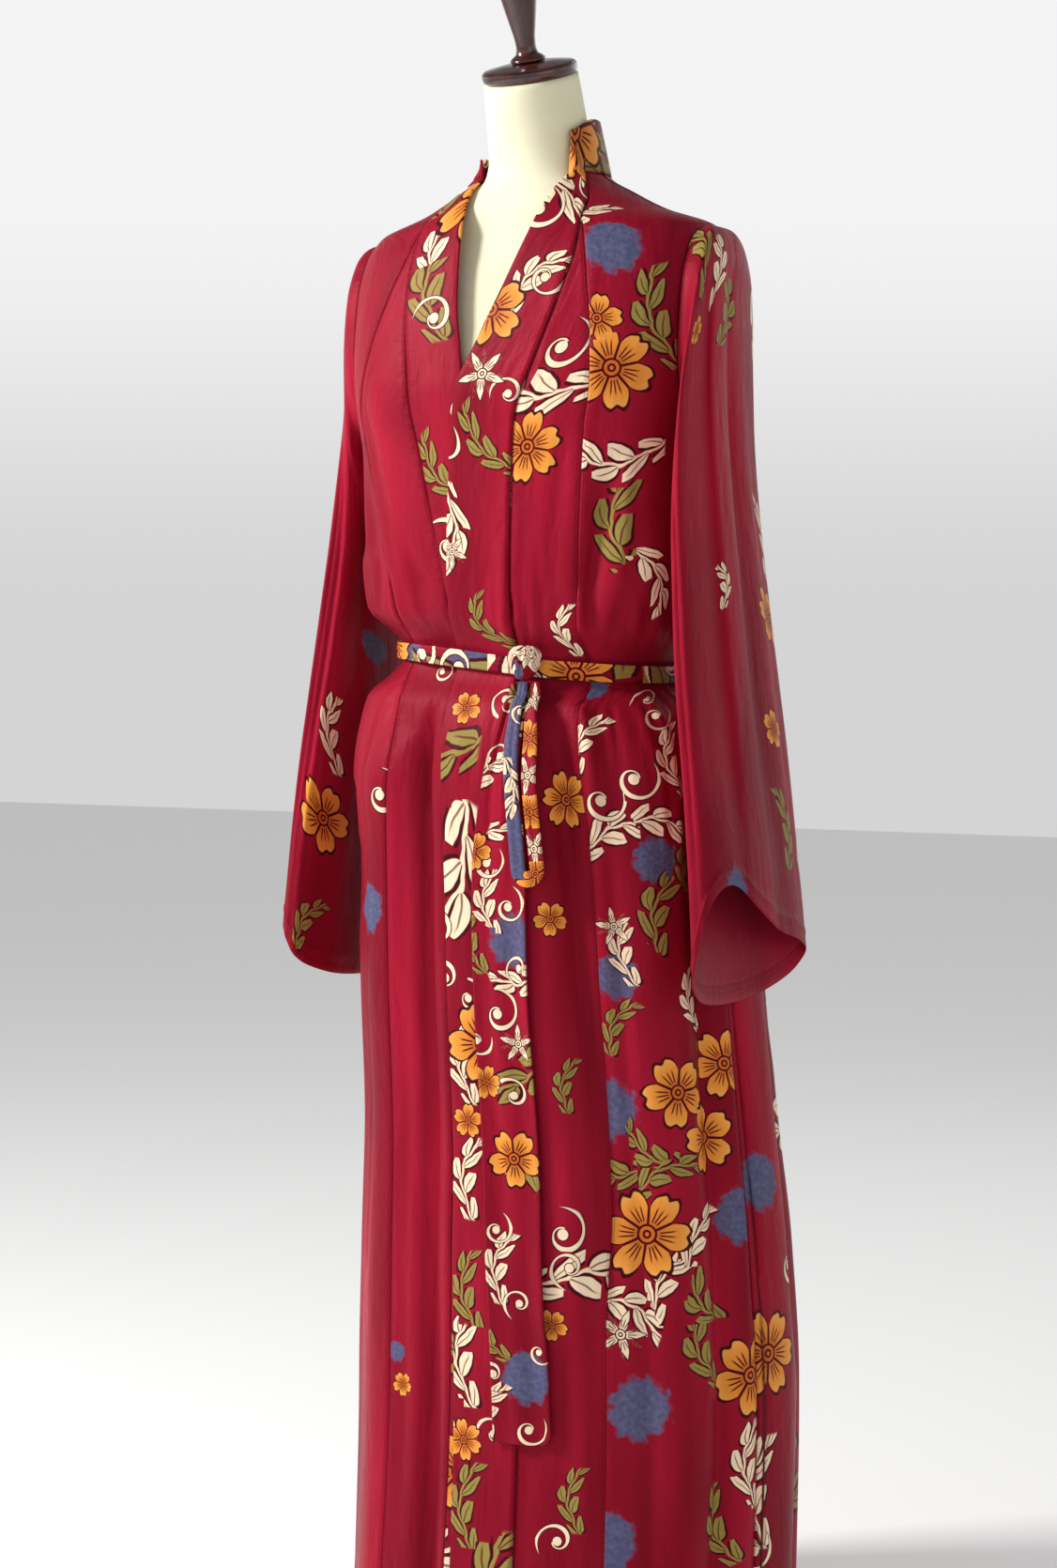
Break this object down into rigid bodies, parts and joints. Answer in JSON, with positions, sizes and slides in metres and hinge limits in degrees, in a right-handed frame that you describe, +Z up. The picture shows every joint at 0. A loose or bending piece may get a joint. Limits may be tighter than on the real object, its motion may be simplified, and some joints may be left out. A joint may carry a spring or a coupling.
{
  "type": "kimono robe on dress form",
  "caption": "Floor-length wrap robe with wide hanging sleeves and a narrow tied sash, worn by a limbless dress form on a pole and round base.",
  "frame": {"origin": "on the floor, at the middle of the underside of the form's round base", "axes": "+Z up the pole, -Y towards the robe's front, +X towards the wearer's left"},
  "size_m": [0.5376, 0.4094, 1.6285],
  "materials": {
    "robe_satin": "soft satin with a printed flower and scroll pattern",
    "band_satin": "double satin, densely printed",
    "sash_satin": "folded satin, densely printed",
    "form_cloth": "cream cotton jersey stretched over the form",
    "turned_wood": "dark mahogany stain, gloss lacquer",
    "stand_steel": "black powder coat"
  },
  "bodies": {
    "root": {"back": "robe_satin", "front_left": "robe_satin", "front_right": "robe_satin", "overlap_left": "robe_satin", "overlap_right": "robe_satin", "sleeve_left": "robe_satin", "sleeve_right": "robe_satin", "collar_band_left": "band_satin", "collar_band_right": "band_satin", "sash_belt": "sash_satin", "sash_knot": "sash_satin", "sash_loop": "sash_satin", "sash_tail": "sash_satin", "form_torso": "form_cloth", "neck_cap": "turned_wood", "neck_finial": "turned_wood", "stand_pole": "stand_steel", "stand_base": "stand_steel"}
  },
  "joints": []
}
